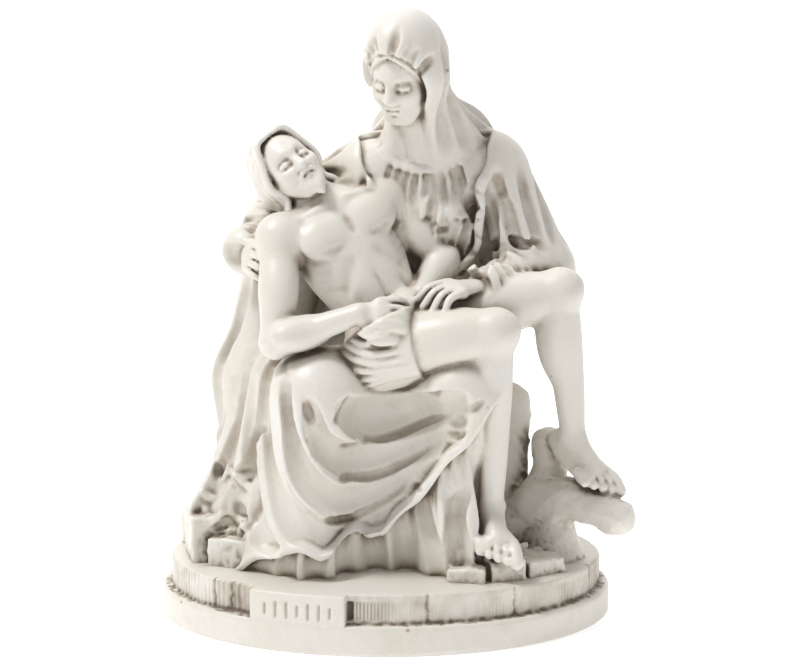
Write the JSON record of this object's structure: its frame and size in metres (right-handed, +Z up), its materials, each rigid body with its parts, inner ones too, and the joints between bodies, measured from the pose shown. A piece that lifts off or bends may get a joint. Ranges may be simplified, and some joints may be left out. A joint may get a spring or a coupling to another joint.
{
  "type": "pieta statuette",
  "caption": "Small cast statuette of a seated, veiled woman who holds a dead man across her lap, on rocks and a stepped oval base with a plain tablet.",
  "frame": {"origin": "centre of the oval base's flat underside", "axes": "+Z up, the figures look toward -Y, the man's feet are on the +X side"},
  "size_m": [0.1172, 0.088, 0.15],
  "materials": {
    "marble_resin": "cream-white marble-dust resin, satin on the raised parts, with a grey-brown wash in the hollows and small casting pits"
  },
  "bodies": {
    "root": {"statuette": "marble_resin"}
  },
  "joints": []
}
